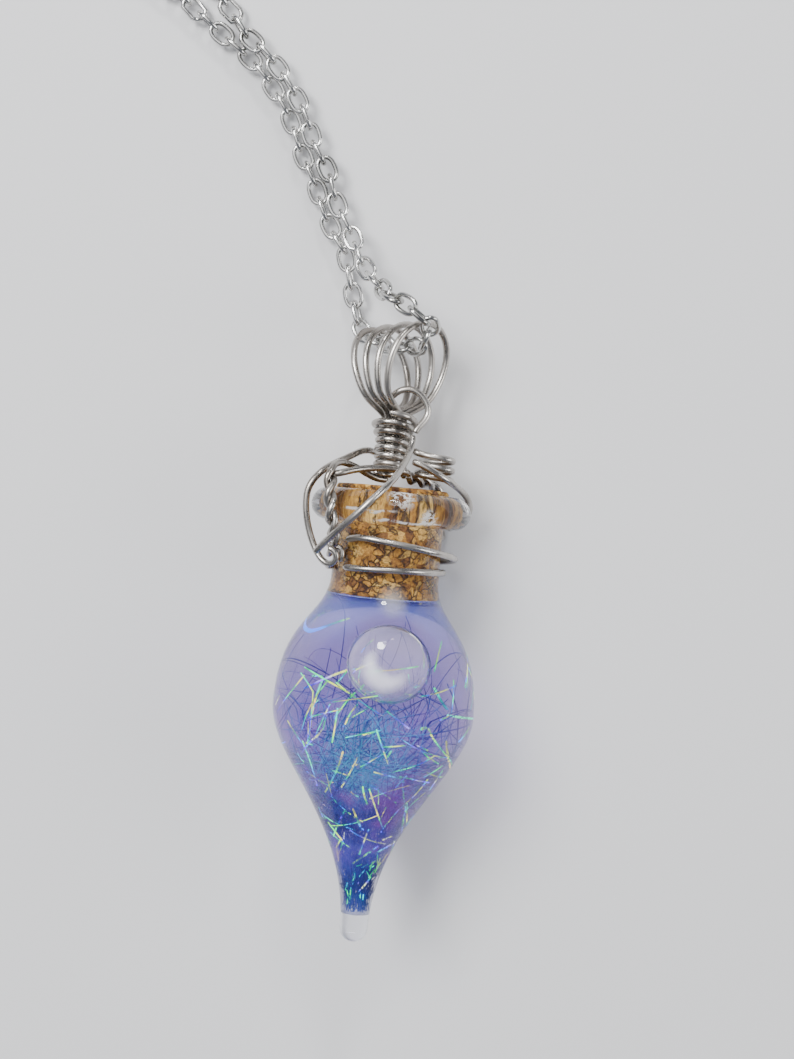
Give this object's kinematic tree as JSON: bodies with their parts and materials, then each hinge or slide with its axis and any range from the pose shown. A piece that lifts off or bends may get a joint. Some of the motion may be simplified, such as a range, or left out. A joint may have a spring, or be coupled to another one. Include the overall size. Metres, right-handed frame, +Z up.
{
  "type": "bottle pendant",
  "caption": "Stoppered glass drop with a tinted filling in a wire harness, hung by a wire bail on a fine cable chain laid out as a closed necklace.",
  "frame": {"origin": "on the surface it lies on, under the middle of the whole necklace's bounding box", "axes": "+Y along the bottle from its drip tip to its bail, +Z up from the surface, +X to the bottle's right as it is seen from above with its bail away from the viewer"},
  "size_m": [0.1432, 0.1836, 0.0165],
  "materials": {
    "clear_glass": "polished",
    "tinted_liquid": "clear blue-violet liquid with glitter and fibres",
    "cork": "granular composition cork, matte",
    "harness_wire": "drawn wire, soft shine",
    "chain_metal": "polished links"
  },
  "bodies": {
    "root": {"glass_bottle": "clear_glass", "liquid_filling": "tinted_liquid", "cork_stopper": "cork", "bail_loops": "harness_wire", "wrap_coil": "harness_wire", "eye_loop": "harness_wire", "swirl_wire": "harness_wire", "cross_wire": "harness_wire", "side_twist": "harness_wire", "back_twist": "harness_wire", "upper_neck_band": "harness_wire", "lower_neck_band": "harness_wire", "lip_brace": "harness_wire", "side_loops": "harness_wire", "chain_front": "chain_metal", "chain_back": "chain_metal", "clasp": "chain_metal"}
  },
  "joints": []
}
